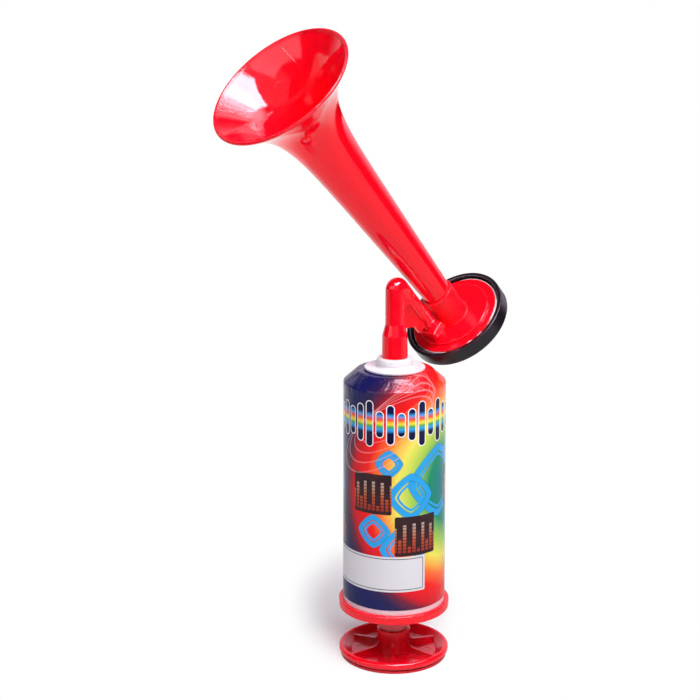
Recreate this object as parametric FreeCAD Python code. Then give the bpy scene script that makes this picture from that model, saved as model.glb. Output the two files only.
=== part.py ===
import FreeCAD, Part
import math
import os

# Hand-pump air horn standing on its pull handle. Millimetres, +Z up.
# The origin is the centre of the handle's underside, on the table. The pump's axis is +Z, the
# horn lies in the YZ plane, and the bell faces -Y and upwards.

V = FreeCAD.Vector
ORIGIN = V(0, 0, 0)
UP = V(0, 0, 1)
overrun = 2.0                  # how far every cutting tool runs past what it cuts
press_gap = 0.02               # radial gap of pieces that are pushed together

# Pull handle: a dished disc with a rolled rim, a hub and six ribs
handle_skirt_r = 24.0
handle_skirt_h = 1.25
handle_groove_depth = 0.55
handle_groove_h = 0.45
handle_bead_r = 24.75
handle_bead_h = 3.2
handle_bead_round = 1.3
handle_rim_w = 1.6
handle_floor_t = 1.8
handle_floor_r = 19.0
handle_hub_top = 12.3
handle_hub_wall = 1.32
handle_hub_draft = 0.35        # how much wider the hub is at the floor
handle_edge_round = 0.4
handle_socket_floor = 3.0
rib_count = 6
rib_t = 1.4
rib_hub_h = 7.1                # top of a rib where it meets the hub
rib_hub_round = 3.2            # hollow between the rib and the hub
rib_knee_h = 4.85
rib_rim_h = 3.3
rib_turn_deg = -45.5           # heading of the first rib
ejector_mark_r = 1.8
ejector_mark_depth = 0.15
ejector_ring_r = 15.2
ejector_turn_deg = 27.0

# Piston rod, a translucent tube, with a plug in its top end
rod_r = 6.12
rod_wall = 1.5
plug_len = 11.0
screw_r = 1.45
screw_head_r = 3.0
screw_head_h = 1.9
screw_bite = 8.5               # length of the screw inside the plug
screw_pilot_spare = 1.5
screw_slot_w = 0.8
screw_slot_len = 4.0
screw_slot_depth = 0.9
screw_head_round = 0.7

# Piston head and its floating ring
piston_gap = 0.5               # land to barrel wall
piston_stop_gap = 0.3
piston_edge_round = 0.4
nose_h = 3.6
nose_r = 14.6
land_h = 2.2
ring_thick = 3.0
ring_travel = 1.3
ring_slack = 0.1
ring_wall_gap = 0.06
ring_air_gap = 0.4
head_socket_depth = 3.5
head_skirt_r = 8.6
head_skirt_h = 4.0
air_notch_count = 6
air_notch_w = 5.0
air_notch_depth = 2.1

# Pump barrel, drafted so that it opens towards the bottom
barrel_r = 22.3                # outside, at the shoulder's edge
barrel_draft_deg = 0.25
barrel_wall = 1.5
barrel_base_z = 25.9
barrel_shoulder_z = 128.5
barrel_top_z = 133.5
barrel_top_r = 16.6
barrel_top_wall = 1.8
shoulder_round = 1.4

# Printed film shrunk over the barrel
sleeve_t = 0.2
sleeve_gap = 0.02
sleeve_base_z = 29.7
sleeve_hole_r = 11.6

# End cap at the open bottom of the barrel
cap_r = 24.87
cap_side_draft = 0.18
cap_base_z = 23.5
cap_h = 3.85
cap_gap = 0.1                  # between the cap and the barrel
cap_floor_t = 2.15
cap_plug_wall = 1.6
cap_plug_h = 4.0
cap_edge_round = 0.5
rod_clearance = 0.1
guide_wall = 1.7
guide_h = 7.5
guide_rib_count = 6
guide_rib_t = 1.2
guide_rib_h = 2.2

# White outlet collar with its flange, and the washer under it
collar_bore_r = 5.74
collar_wall = 2.16
collar_hole_gap = 0.1
collar_lip = 0.7               # snap lip under the barrel's top wall
collar_lip_h = 1.3
collar_floor_h = 0.8
collar_floor_hole_r = 4.0
collar_chamber_r = 6.25
collar_chamber_h = 1.6
collar_h = 5.45                # above the barrel's top
collar_ring_r = 7.92
collar_ring_h = 2.45
collar_ring_round = 0.95
collar_waist_r = 7.72
collar_flare_round = 1.4
flange_r = 13.35
flange_t = 1.1
flange_round = 0.35
washer_r = 11.2
washer_t = 0.35

# Elbow: a vertical leg, a tight bend, and a leg that runs back down beside the horn
horn_tilt_deg = 43.0           # horn axis, from the vertical
elbow_rise = 34.75             # from the collar's top to where the axes of the two legs would cross
elbow_leg_len = 41.1           # from that crossing to the face plane of the horn housing
elbow_leg_r = 4.2
elbow_core_r = 2.5
elbow_bend_r = 1.25
elbow_run_r = 2.9              # second leg, below the knee
elbow_bore_r = 1.5
elbow_tip_r = 2.2              # spigot of the second leg, inside the port
elbow_knee_len = 13.3          # from the crossing to the end of the knee
elbow_knee_t = 5.2
elbow_arch_r = 3.2             # hollow under the knee
elbow_sleeve_r = 5.5
elbow_sleeve_h = 9.95
elbow_cone_h = 4.8
elbow_sleeve_bore_r = 3.7
elbow_sleeve_bore_h = 7.05
spigot_gap = 0.06              # running fit of the elbow's spigot in the collar
swivel_gap = 0.1
spigot_bead = 0.3
spigot_bead_h = 0.8
seal_thick = 1.3
seal_lift = 1.2                # land between the spigot's bead and the seal's groove
web_t = 2.0
web_base_drop = 2.8            # below the top of the elbow's cone
web_reach = 19.4               # from the horn's axis to the web's free edge
web_corner_h = 16.5            # top of that edge, above the housing's face plane
web_port_gap = 0.3

# Horn housing: the disc with its tall socket and its inlet port
port_offset = 12.2             # from the horn's axis to the port's axis
disc_r = 20.5
disc_t = 1.5
disc_edge_round = 0.25
disc_step_r = 17.1
disc_step_h = 1.1
disc_step_round = 0.3
socket_h = 17.1
socket_ring_r = 7.4
socket_ring_h = 1.3
socket_ring_round = 0.6
socket_neck_r = 7.15
socket_foot_round = 0.7
socket_gap = 0.05
socket_depth = 11.5
nozzle_r = 5.2
nozzle_bore_r = 3.2
chamber_r = 14.6
chamber_rim_h = 0.7
chamber_top_r = 12.8
chamber_top_h = 1.5
port_block_base = 4.6          # open space between the disc and the port's block
port_block_h = 8.2
port_block_w = 9.0
port_block_len = 7.1
port_sag = 0.65                # the block reaches a little further down the disc than up it
port_collar_r = 3.3
port_collar_h = 11.6
port_seat_h = 3.4
port_hole_r = 1.5
port_gap = 0.05
port_edge_round = 0.45

# Trumpet
mouth_len = 148.0              # from the housing's face plane to the mouth
mouth_r = 31.2
mouth_bead_r = 0.65
trumpet_wall = 1.3
trumpet_r = 6.53               # outside, where it enters the socket
trumpet_slope_share = 0.0498
flare_reach = 12.5
flare_power_share = 1.14
flare_stations = 16
flare_spread_share = 2.2       # how strongly the stations crowd towards the mouth

# Diaphragm, its gasket and the cap that closes the back
diaphragm_t = 0.3
diaphragm_edge_t = 0.45
diaphragm_edge_gap = 0.4
diaphragm_edge_h = 0.1         # how far the turned-up edge stands over the disc's face
gasket_t = 1.0
gasket_r = 21.4
gasket_bore_r = 17.4
back_cap_r = 23.8
back_cap_side = 2.0
back_cap_floor_t = 1.85
back_cap_recess = 1.45
back_cap_proud = 0.75
back_cap_round = 0.6
back_cap_chamfer = 0.35


def rounded_edges(points):
    """Closed chain in the XZ plane through (radius, height) points; a third value rounds a corner."""
    spots = [V(p[0], 0, p[1]) for p in points]
    corners = []
    for i, spot in enumerate(spots):
        radius = points[i][2] if len(points[i]) == 3 else 0
        if radius == 0:
            corners.append((spot, None, spot))
            continue
        back = (spots[i - 1] - spot).normalize()
        ahead = (spots[(i + 1) % len(spots)] - spot).normalize()
        half = back.getAngle(ahead) / 2
        reach = radius / math.tan(half)
        middle = spot + (back + ahead).normalize() * (radius / math.sin(half) - radius)
        corners.append((spot + back * reach, middle, spot + ahead * reach))
    edges = []
    for i, (start, middle, end) in enumerate(corners):
        following = corners[(i + 1) % len(corners)][0]
        if middle is not None:
            edges.append(Part.Arc(start, middle, end).toShape())
        if not end.isEqual(following, press_gap / 100):
            edges.append(Part.makeLine(end, following))
    return edges


def revolved(edges):
    """Solid of revolution about Z from a closed chain of edges in the XZ plane."""
    return Part.Face(Part.Wire(edges)).revolve(ORIGIN, UP, 360)


def turned(points):
    return revolved(rounded_edges(points))


def tube(outer, inner, base, top):
    """Plain ring between two heights."""
    return turned([(inner, base), (outer, base), (outer, top), (inner, top)])


def rod(radius, base, top, x=0, y=0):
    return Part.makeCylinder(radius, top - base, V(x, y, base), UP)


def block(width, length, base, top, x=0, y=0):
    """Upright block centred on (x, y)."""
    return Part.makeBox(width, length, top - base, V(x - width / 2, y - length / 2, base))


def torus(outer, thick, height):
    """Ring of round section, given by its outside radius."""
    return Part.makeTorus(outer - thick / 2, thick / 2, V(0, 0, height), UP)


def spun(shape, degrees):
    copy = shape.copy()
    copy.rotate(ORIGIN, UP, degrees)
    return copy


def ring_of(shape, count, first=0):
    """Copies of a shape evenly spaced about Z."""
    return [spun(shape, first + 360 * i / count) for i in range(count)]


def save(name, shape):
    """Write one sub-part and say what it is made of."""
    shape.exportStep("parts/" + name + ".step")
    print(name, len(shape.Solids), "solid, valid", shape.isValid(), "volume", round(shape.Volume, 1))


# Heights and radii that several pieces share

tilt = math.radians(horn_tilt_deg)
turn = math.pi - tilt          # how far the elbow bends
leg_down = V(0, math.sin(tilt), -math.cos(tilt))
leg_out = V(0, math.cos(tilt), math.sin(tilt))
draft = math.tan(math.radians(barrel_draft_deg))
hub_r = rod_r + press_gap + handle_hub_wall
collar_spigot_r = collar_bore_r + collar_wall
barrel_hole_r = collar_spigot_r + collar_hole_gap
barrel_ceiling_z = barrel_top_z - barrel_top_wall
collar_base_z = barrel_ceiling_z - collar_lip_h
collar_floor_z = collar_base_z + collar_floor_h
collar_top_z = barrel_top_z + collar_h
flange_base_z = barrel_top_z + washer_t
spigot_base_z = collar_floor_z + swivel_gap
spigot_r = collar_bore_r - spigot_gap
seal_mid_z = spigot_base_z + spigot_bead_h + seal_lift + seal_thick / 2
nose_z = collar_base_z - piston_stop_gap
piston_r = barrel_r - barrel_wall - piston_gap
ring_r = barrel_r - barrel_wall - ring_wall_gap
groove_top_z = nose_z - nose_h - land_h
groove_base_z = groove_top_z - ring_thick - ring_travel - ring_slack
head_base_z = groove_base_z - land_h
rod_top_z = head_base_z - head_skirt_h + head_socket_depth
diaphragm_base = -disc_t - diaphragm_t
gasket_base = diaphragm_base - gasket_t

# Heights along the elbow, and the crossing of its second leg's axis with the first
elbow_sleeve_top_z = collar_top_z + elbow_sleeve_h
elbow_cone_top_z = elbow_sleeve_top_z + elbow_cone_h
elbow_corner = V(0, 0, collar_top_z + elbow_rise)

# The centre of the housing's face plane: down the elbow's second leg, then across to the horn's axis
face = elbow_corner + leg_down * elbow_leg_len + leg_out * port_offset


def on_horn(shape):
    """Bring a shape from the horn's own frame (+Z to the mouth, +Y up the disc) to its place."""
    placed = shape.copy()
    placed.rotate(ORIGIN, V(1, 0, 0), horn_tilt_deg)
    placed.translate(face)
    return placed


# Pull handle and plunger

def handle_rib():
    """One rib: hollowed down from the hub, then straight out to the rim."""
    root_r = hub_r - handle_hub_wall / 2
    face = Part.Face(Part.Wire(rounded_edges([
        (root_r, handle_floor_t / 2),
        (handle_floor_r, handle_floor_t / 2),
        (handle_bead_r - handle_rim_w, rib_rim_h),
        (hub_r + rib_t / 4, rib_knee_h, rib_hub_round),
        (hub_r + handle_hub_draft / 2, rib_hub_h + rib_hub_round),
        (root_r, rib_hub_h + rib_hub_round)])))
    rib = face.extrude(V(0, rib_t, 0))
    rib.translate(V(0, -rib_t / 2, 0))
    return rib


def pull_handle():
    bead_base = handle_skirt_h + handle_groove_h
    rim_z = bead_base + handle_bead_h
    groove_r = handle_skirt_r - handle_groove_depth
    socket_r = rod_r + press_gap
    body = turned([
        (0, 0),
        (handle_skirt_r, 0, handle_edge_round),
        (handle_skirt_r, handle_skirt_h),
        (groove_r, handle_skirt_h),
        (groove_r, bead_base),
        (handle_bead_r, bead_base, handle_bead_round),
        (handle_bead_r, rim_z, handle_bead_round),
        (handle_bead_r - handle_rim_w, rim_z),
        (handle_floor_r, handle_floor_t, handle_edge_round),
        (hub_r + handle_hub_draft, handle_floor_t),
        (hub_r, handle_hub_top, handle_edge_round),
        (socket_r, handle_hub_top),
        (socket_r, handle_socket_floor),
        (0, handle_socket_floor)])
    mark = rod(ejector_mark_r, handle_floor_t - ejector_mark_depth, handle_hub_top, x=ejector_ring_r)
    body = body.cut(ring_of(mark, rib_count, rib_turn_deg + ejector_turn_deg))
    return body.fuse(ring_of(handle_rib(), rib_count, rib_turn_deg)).removeSplitter()


def piston_rod():
    return tube(rod_r, rod_r - rod_wall, handle_socket_floor, rod_top_z)


def rod_plug():
    plug = rod(rod_r - rod_wall - press_gap, rod_top_z - plug_len, rod_top_z)
    return plug.cut(rod(screw_r, rod_top_z - screw_bite - screw_pilot_spare, rod_top_z + overrun))


def piston_head():
    """Spool that carries the floating ring; notches in its upper land let air past on the way out."""
    core_r = ring_r - ring_thick - ring_air_gap
    skirt_z = head_base_z - head_skirt_h
    socket_r = rod_r + press_gap
    head_z = nose_z - screw_head_h
    body = turned([
        (socket_r, skirt_z),
        (head_skirt_r, skirt_z),
        (head_skirt_r, head_base_z),
        (piston_r, head_base_z, piston_edge_round),
        (piston_r, groove_base_z),
        (core_r, groove_base_z),
        (core_r, groove_top_z),
        (piston_r, groove_top_z),
        (piston_r, groove_top_z + land_h),
        (nose_r, nose_z),
        (screw_head_r + press_gap, nose_z),
        (screw_head_r + press_gap, head_z),
        (screw_r + press_gap, head_z),
        (screw_r + press_gap, rod_top_z),
        (socket_r, rod_top_z)])
    reach = air_notch_depth + overrun
    notch = block(reach, air_notch_w, groove_top_z - ring_slack, nose_z + overrun,
                  x=piston_r - air_notch_depth + reach / 2)
    return body.cut(ring_of(notch, air_notch_count))


def piston_screw():
    head_z = nose_z - screw_head_h
    screw = turned([
        (0, rod_top_z - screw_bite),
        (screw_r, rod_top_z - screw_bite + screw_r),
        (screw_r, head_z),
        (screw_head_r, head_z),
        (screw_head_r, nose_z, screw_head_round),
        (0, nose_z)])
    slot = block(screw_slot_len, screw_slot_w, nose_z - screw_slot_depth, nose_z + overrun)
    return screw.cut([slot, spun(slot, 90)])


def piston_ring():
    return torus(ring_r, ring_thick, groove_base_z + ring_slack / 2 + ring_thick / 2)


# Barrel, printed sleeve and end cap

def barrel_out(z):
    """Outside radius of the drafted barrel at a height."""
    return barrel_r + (barrel_shoulder_z - z) * draft


def shoulder_points(offset, base_z):
    """Foot, shoulder edge and crown of the barrel's outside, pushed outwards by an offset."""
    slope = math.atan2(barrel_top_z - barrel_shoulder_z, barrel_r - barrel_top_r)
    edge_z = barrel_shoulder_z + offset * math.tan((math.pi / 2 - slope) / 2)
    crown_r = barrel_top_r + offset * math.tan(slope / 2)
    return ((barrel_out(base_z) + offset, base_z),
            (barrel_r + offset, edge_z),
            (crown_r, barrel_top_z + offset))


def barrel_skin(offset, base_z):
    """Solid bottle shape of the barrel, pushed outwards by an offset."""
    foot, edge, crown = shoulder_points(offset, base_z)
    corner = shoulder_round + offset
    return turned([(0, base_z), foot, edge + (corner,), crown + (corner,), (0, crown[1])])


def pump_barrel():
    foot, edge, crown = shoulder_points(-barrel_wall, barrel_base_z - overrun)
    run = (edge[0] - crown[0]) / (crown[1] - edge[1])
    ceiling = (edge[0] - (barrel_ceiling_z - edge[1]) * run, barrel_ceiling_z)
    hollow = turned([(0, foot[1]), foot, edge, ceiling, (0, barrel_ceiling_z)])
    outlet = rod(barrel_hole_r, barrel_ceiling_z - overrun, barrel_top_z + overrun)
    return barrel_skin(0, barrel_base_z).cut([hollow, outlet])


def printed_sleeve():
    inner = barrel_skin(sleeve_gap, sleeve_base_z - overrun)
    hole = rod(sleeve_hole_r, barrel_ceiling_z, barrel_top_z + overrun)
    return barrel_skin(sleeve_gap + sleeve_t, sleeve_base_z).cut([inner, hole])


def end_cap():
    """Cup that closes the barrel: an outer wall, an inner plug ring and a guide for the rod."""
    floor_z = cap_base_z + cap_floor_t
    rim_z = cap_base_z + cap_h
    bore_r = rod_r + rod_clearance
    guide_r = bore_r + guide_wall
    plug_r = barrel_out(barrel_base_z) - barrel_wall - cap_gap
    cup = turned([
        (bore_r, cap_base_z),
        (cap_r - cap_side_draft, cap_base_z, cap_edge_round),
        (cap_r, rim_z, cap_edge_round),
        (barrel_out(rim_z) + cap_gap, rim_z),
        (barrel_out(floor_z) + cap_gap, floor_z),
        (plug_r, floor_z),
        (plug_r, floor_z + cap_plug_h, cap_edge_round),
        (plug_r - cap_plug_wall, floor_z + cap_plug_h),
        (plug_r - cap_plug_wall, floor_z),
        (guide_r, floor_z),
        (guide_r, floor_z + guide_h, cap_edge_round),
        (bore_r, floor_z + guide_h)])
    rib_from = guide_r - guide_wall / 2
    rib_to = plug_r - cap_plug_wall / 2
    rib = block(rib_to - rib_from, guide_rib_t, floor_z - cap_floor_t / 2, floor_z + guide_rib_h,
                x=(rib_from + rib_to) / 2)
    return cup.fuse(ring_of(rib, guide_rib_count)).removeSplitter()


# Outlet collar and its washer

def outlet_collar():
    """Snap-in outlet: wide flange, hollow flare, rounded neck ring, and a bore the elbow turns in."""
    ring_base_z = collar_top_z - collar_ring_h
    flange_top_z = flange_base_z + flange_t
    chamber_z = collar_floor_z + collar_chamber_h
    lip_r = collar_spigot_r + collar_lip
    return turned([
        (collar_floor_hole_r, collar_base_z),
        (collar_spigot_r, collar_base_z),
        (lip_r, collar_base_z + collar_lip_h / 2),
        (lip_r, barrel_ceiling_z),
        (collar_spigot_r, barrel_ceiling_z),
        (collar_spigot_r, flange_base_z),
        (flange_r, flange_base_z, flange_round),
        (flange_r, flange_top_z, flange_round),
        (collar_waist_r, flange_top_z, collar_flare_round),
        (collar_waist_r, ring_base_z),
        (collar_ring_r, ring_base_z),
        (collar_ring_r, collar_top_z, collar_ring_round),
        (collar_bore_r, collar_top_z),
        (collar_bore_r, chamber_z),
        (collar_chamber_r, chamber_z),
        (collar_chamber_r, collar_floor_z),
        (collar_floor_hole_r, collar_floor_z)])


def collar_washer():
    return tube(washer_r, collar_spigot_r + collar_hole_gap, barrel_top_z, flange_base_z)


# Elbow and the seal on its spigot

def bend(radius, corner_z):
    """Outer half of a round pipe's bend between two legs whose axes cross at a height."""
    bend_z = corner_z - elbow_bend_r * math.tan(turn / 2)
    disc = Part.Face(Part.Wire(Part.makeCircle(radius, V(0, 0, bend_z), UP)))
    outer_side = Part.makeBox(2 * radius, radius + elbow_bend_r, radius,
                              V(-radius, -radius, bend_z - radius / 2))
    return disc.common(outer_side).revolve(V(0, elbow_bend_r, bend_z), V(-1, 0, 0), math.degrees(turn))


def down_leg(radius, start, end):
    """Round bar along the second leg, between two distances from the crossing."""
    return Part.makeCylinder(radius, end - start, elbow_corner + leg_down * start, leg_down)


def slab(corners, thickness):
    """Flat plate in the plane of the legs."""
    plate = Part.Face(Part.makePolygon(corners + corners[:1])).extrude(V(thickness, 0, 0))
    plate.translate(V(-thickness / 2, 0, 0))
    return plate


def on_plane(across, height):
    """Point in the plane of the legs, given in the horn's frame."""
    return face + leg_out * across - leg_down * height


def elbow_knee(bend_z, bend_end):
    """Thick plate in the crook between the legs, with a round arch cut from below."""
    axis_end = elbow_corner + leg_down * elbow_knee_len
    edge_end = axis_end - leg_out * elbow_run_r
    arch_y = math.sqrt(elbow_leg_r ** 2 - (elbow_knee_t / 2) ** 2) + elbow_arch_r
    arch_z = edge_end.z - elbow_arch_r
    plate = slab([V(0, 0, arch_z), V(0, 0, bend_z), bend_end, axis_end, edge_end, V(0, edge_end.y, arch_z)],
                 elbow_knee_t)
    width = elbow_knee_t + overrun
    arch = Part.makeCylinder(elbow_arch_r, width, V(-width / 2, arch_y, arch_z), V(1, 0, 0))
    return plate.cut(arch)


def elbow_web():
    """Thin gusset between the two legs, down to just above the port."""
    foot_h = port_collar_h + web_port_gap
    inside = elbow_leg_r / 2
    crotch_z = elbow_corner.z - 2 * elbow_leg_r
    return slab([
        V(0, inside, elbow_cone_top_z - web_base_drop),
        on_plane(-web_reach, web_corner_h),
        on_plane(-web_reach, foot_h),
        on_plane(-port_offset - elbow_run_r / 2, foot_h),
        V(0, elbow_leg_r, crotch_z),
        V(0, inside, crotch_z)], web_t)


def elbow_foot():
    """Spigot with its bead and seal groove, then the sleeve and the cone above the collar."""
    groove_r = spigot_r - seal_thick
    groove_half = seal_thick / 2 + spigot_gap
    return turned([
        (0, spigot_base_z),
        (spigot_r, spigot_base_z),
        (spigot_r + spigot_bead, spigot_base_z + spigot_bead_h / 2),
        (spigot_r, spigot_base_z + spigot_bead_h),
        (spigot_r, seal_mid_z - groove_half),
        (groove_r, seal_mid_z - groove_half),
        (groove_r, seal_mid_z + groove_half),
        (spigot_r, seal_mid_z + groove_half),
        (spigot_r, collar_top_z),
        (elbow_sleeve_r, elbow_sleeve_top_z),
        (elbow_leg_r, elbow_cone_top_z),
        (0, elbow_cone_top_z)])


def elbow_bore(tip):
    """Air way: a wide sleeve bore, the first leg's core, the bend and the second leg."""
    setback = elbow_bend_r * math.tan(turn / 2)
    return rod(elbow_sleeve_bore_r, spigot_base_z - overrun, collar_top_z + elbow_sleeve_bore_h).fuse([
        rod(elbow_core_r, elbow_sleeve_top_z - elbow_sleeve_bore_r, elbow_corner.z - 2 * setback),
        rod(elbow_bore_r, elbow_cone_top_z, elbow_corner.z - setback),
        bend(elbow_bore_r, elbow_corner.z),
        down_leg(elbow_bore_r, setback, tip + overrun)])


def elbow_pipe():
    """The knee's outer side follows the wide first leg, so its bend sits inside the legs' crossing."""
    setback = elbow_bend_r * math.tan(turn / 2)
    corner_z = elbow_corner.z - (elbow_leg_r - elbow_run_r) / math.sin(tilt)
    bend_end = V(0, 0, corner_z) + leg_down * setback
    knee_end = elbow_corner + leg_down * elbow_knee_len
    taper = Part.makeLoft([Part.Wire(Part.makeCircle(elbow_leg_r, bend_end, leg_down)),
                           Part.Wire(Part.makeCircle(elbow_run_r, knee_end, leg_down))], True, True)
    shoulder = elbow_leg_len - port_collar_h - port_gap
    tip = elbow_leg_len - port_seat_h - port_gap
    pipe = rod(elbow_leg_r, elbow_cone_top_z, corner_z - setback).fuse([
        elbow_foot(),
        bend(elbow_leg_r, corner_z),
        taper,
        down_leg(elbow_run_r, elbow_knee_len, shoulder),
        down_leg(elbow_tip_r, elbow_knee_len, tip),
        elbow_knee(corner_z - setback, bend_end),
        elbow_web()])
    return pipe.cut(elbow_bore(tip)).removeSplitter()


def spigot_seal():
    return torus(spigot_r + spigot_gap / 2, seal_thick, seal_mid_z)


# Horn housing, in the horn's own frame

def port_block():
    """Block round the port's tube, clear of the disc, with all its edges rounded."""
    body = block(port_block_w, port_block_len, port_block_base, port_block_h, y=-port_offset - port_sag)
    return body.makeFillet(port_edge_round, body.Edges)


def horn_housing():
    """Disc with a raised step, a tall socket for the trumpet, a nozzle and the inlet port."""
    seat_h = socket_h - socket_depth
    ring_base = socket_h - socket_ring_h
    seat_r = trumpet_r + socket_gap - socket_depth * trumpet_slope_share
    shell = turned([
        (nozzle_bore_r, -disc_t),
        (disc_r, -disc_t),
        (disc_r, 0, disc_edge_round),
        (disc_step_r, 0),
        (disc_step_r, disc_step_h, disc_step_round),
        (socket_neck_r, disc_step_h, socket_foot_round),
        (socket_neck_r, ring_base),
        (socket_ring_r, ring_base, socket_ring_round / 2),
        (socket_ring_r, socket_h, socket_ring_round),
        (trumpet_r + socket_gap, socket_h),
        (seat_r, seat_h),
        (nozzle_bore_r, seat_h)])
    port_tube = turned([(0, 0), (port_collar_r, 0), (port_collar_r, port_collar_h, port_edge_round),
                        (0, port_collar_h)])
    port_tube.translate(V(0, -port_offset, 0))
    chamber = turned([
        (nozzle_r, -disc_t - overrun),
        (chamber_r, -disc_t - overrun),
        (chamber_r, chamber_rim_h - disc_t),
        (chamber_top_r, chamber_top_h - disc_t),
        (nozzle_r, chamber_top_h - disc_t)])
    well = rod(elbow_tip_r + port_gap, port_seat_h, port_collar_h + overrun, y=-port_offset)
    hole = rod(port_hole_r, -disc_t, port_collar_h, y=-port_offset)
    return shell.fuse([port_tube, port_block()]).cut([chamber, well, hole]).removeSplitter()


# Trumpet

def trumpet_middle(height):
    """Radius of the middle of the trumpet's wall: a slender cone that flares near the mouth."""
    lip = mouth_len - mouth_bead_r
    cone = trumpet_r - trumpet_wall / 2 + trumpet_slope_share * (height - socket_h)
    lip_cone = trumpet_r - trumpet_wall / 2 + trumpet_slope_share * (lip - socket_h)
    fade = math.exp(-((lip - height) / flare_reach) ** flare_power_share)
    return cone + (mouth_r - mouth_bead_r - lip_cone) * fade


def trumpet_side(offset):
    """Smooth edge beside the middle line, from the seat to the lip."""
    seat = socket_h - socket_depth + socket_gap
    lip = mouth_len - mouth_bead_r
    step = flare_reach / 1000
    spots = []
    for i in range(flare_stations):
        height = lip - (lip - seat) * (1 - i / (flare_stations - 1)) ** flare_spread_share
        above = min(height + step, lip)
        run = (trumpet_middle(above) - trumpet_middle(above - 2 * step)) / 2
        size = math.hypot(run, step)
        spots.append(V(trumpet_middle(height) + offset * step / size, 0, height - offset * run / size))
    side = Part.BSplineCurve()
    side.interpolate(spots)
    return side.toShape(), spots[0], spots[-1]


def trumpet():
    outer, outer_seat, outer_lip = trumpet_side(trumpet_wall / 2)
    inner, inner_seat, inner_lip = trumpet_side(-trumpet_wall / 2)
    wall = revolved([
        outer,
        Part.makeLine(outer_lip, inner_lip),
        inner,
        Part.makeLine(inner_seat, outer_seat)])
    bead = torus(mouth_r, 2 * mouth_bead_r, mouth_len - mouth_bead_r)
    return wall.fuse(bead)


# Diaphragm, gasket and back cap, in the horn's own frame

def diaphragm():
    """Thin film clamped behind the disc, with its edge turned up round the disc's rim."""
    inner = disc_r + diaphragm_edge_gap
    outer = inner + diaphragm_edge_t
    return turned([(0, diaphragm_base), (outer, diaphragm_base, diaphragm_t), (outer, diaphragm_edge_h),
                   (inner, diaphragm_edge_h), (inner, -disc_t), (0, -disc_t)])


def diaphragm_gasket():
    return tube(gasket_r, gasket_bore_r, gasket_base, diaphragm_base)


def back_cap():
    inner = back_cap_r - back_cap_side
    recess = gasket_base - back_cap_recess
    base = recess - back_cap_floor_t
    return turned([
        (0, base),
        (back_cap_r, base, back_cap_round),
        (back_cap_r, back_cap_proud, back_cap_chamfer),
        (inner, back_cap_proud, back_cap_chamfer),
        (inner, gasket_base),
        (gasket_bore_r, gasket_base),
        (gasket_bore_r, recess),
        (0, recess)])


os.makedirs("parts", exist_ok=True)

save("pull_handle", pull_handle())
save("piston_rod", piston_rod())
save("rod_plug", rod_plug())
save("piston_head", piston_head())
save("piston_screw", piston_screw())
save("piston_ring", piston_ring())
save("pump_barrel", pump_barrel())
save("printed_sleeve", printed_sleeve())
save("end_cap", end_cap())
save("outlet_collar", outlet_collar())
save("collar_washer", collar_washer())
save("elbow_pipe", elbow_pipe())
save("spigot_seal", spigot_seal())
save("horn_housing", on_horn(horn_housing()))
save("trumpet", on_horn(trumpet()))
save("diaphragm", on_horn(diaphragm()))
save("diaphragm_gasket", on_horn(diaphragm_gasket()))
save("back_cap", on_horn(back_cap()))

stroke = head_base_z - head_skirt_h - (cap_base_z + cap_floor_t + guide_h)
print("free stroke of the pump", round(stroke, 2))
print("face plane centre", round(face.y, 3), round(face.z, 3))
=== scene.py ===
# %% [markdown]
# # A hand-pump air horn
#
# The horn is a toy that makes its noise with air: a pump stands on its own pull handle, a bent pipe
# carries the air up and over to a flat drum with a film inside, and the film's buzz leaves through a
# long flared trumpet. The CAD model already holds every solid at its real size, and fine enough to
# show. So this lesson makes only one piece again, the crinkled film. All the others get a finish,
# and the whole is lit like a studio photograph.

# %% Load the frame
import math
import bpy
from mathutils import Matrix, Vector, noise


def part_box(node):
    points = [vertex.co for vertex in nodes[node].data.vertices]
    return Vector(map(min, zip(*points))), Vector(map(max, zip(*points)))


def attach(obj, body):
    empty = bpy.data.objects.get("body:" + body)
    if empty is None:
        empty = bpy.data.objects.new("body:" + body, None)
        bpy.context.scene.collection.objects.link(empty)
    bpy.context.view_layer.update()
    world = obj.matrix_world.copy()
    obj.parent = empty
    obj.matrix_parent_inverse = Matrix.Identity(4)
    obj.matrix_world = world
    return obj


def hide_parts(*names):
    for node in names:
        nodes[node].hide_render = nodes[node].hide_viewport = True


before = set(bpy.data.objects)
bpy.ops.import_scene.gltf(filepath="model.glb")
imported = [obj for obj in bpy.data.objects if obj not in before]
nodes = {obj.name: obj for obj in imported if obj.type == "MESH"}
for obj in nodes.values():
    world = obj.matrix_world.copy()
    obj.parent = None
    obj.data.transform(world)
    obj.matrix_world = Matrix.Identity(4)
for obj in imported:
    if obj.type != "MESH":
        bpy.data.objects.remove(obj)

for spare in ("Cube", "Light", "Camera"):
    if spare in bpy.data.objects:
        bpy.data.objects.remove(bpy.data.objects[spare])

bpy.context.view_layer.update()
mm = 0.001

# %% [markdown]
# ## The camera
#
# A photograph's viewpoint can be guessed and moved until the picture looks right, or it can be found
# from circles. The pump is round, so how flat its rings look says how steeply the camera looks down,
# and how much they change from the foot to the shoulder says how far away it stands. The circles are
# the surer way. They give a camera 0.75 m away, 14 degrees above the horizontal. The lens is long,
# which keeps the sides of the tube nearly parallel.

# %% Camera
camera_turn_deg = 47.5
camera_rise_deg = 14.06
camera_roll_deg = -0.144
camera_place = Vector((489.7, -475.2, 312.9)) * mm
lens_mm = 82.98
sensor_mm = 36


def pointing(turn_deg, rise_deg):
    """Direction that is turned from the front, against the clock from above, and raised."""
    turn = math.radians(turn_deg)
    rise = math.radians(rise_deg)
    return Vector((math.sin(turn) * math.cos(rise), -math.cos(turn) * math.cos(rise), math.sin(rise)))


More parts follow.
